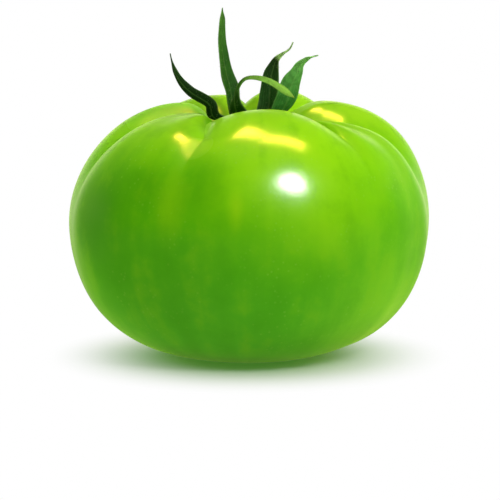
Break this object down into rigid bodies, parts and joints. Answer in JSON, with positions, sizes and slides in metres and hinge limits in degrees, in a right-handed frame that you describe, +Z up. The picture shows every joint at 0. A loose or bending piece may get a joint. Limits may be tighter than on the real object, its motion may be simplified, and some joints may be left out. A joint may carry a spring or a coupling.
{
  "type": "green tomato",
  "caption": "Broad ribbed unripe tomato that rests on a small flat spot, with a star of curling sepals and a short stub of stem in the hollow at its top.",
  "frame": {"origin": "middle of the flat spot that the fruit rests on", "axes": "+Z up towards the stem end, -Y towards the front that the picture shows, +X to its right"},
  "size_m": [0.0912, 0.0893, 0.087],
  "materials": {
    "skin": "smooth waxy skin, yellow-green at the shoulders and deeper green below",
    "sepals": "dark green leaf with pale veins and fine hairs",
    "stem": "hairy green stem with a pale snapped end"
  },
  "bodies": {
    "root": {"fruit": "skin", "calyx": "sepals", "stem_stub": "stem"}
  },
  "joints": []
}
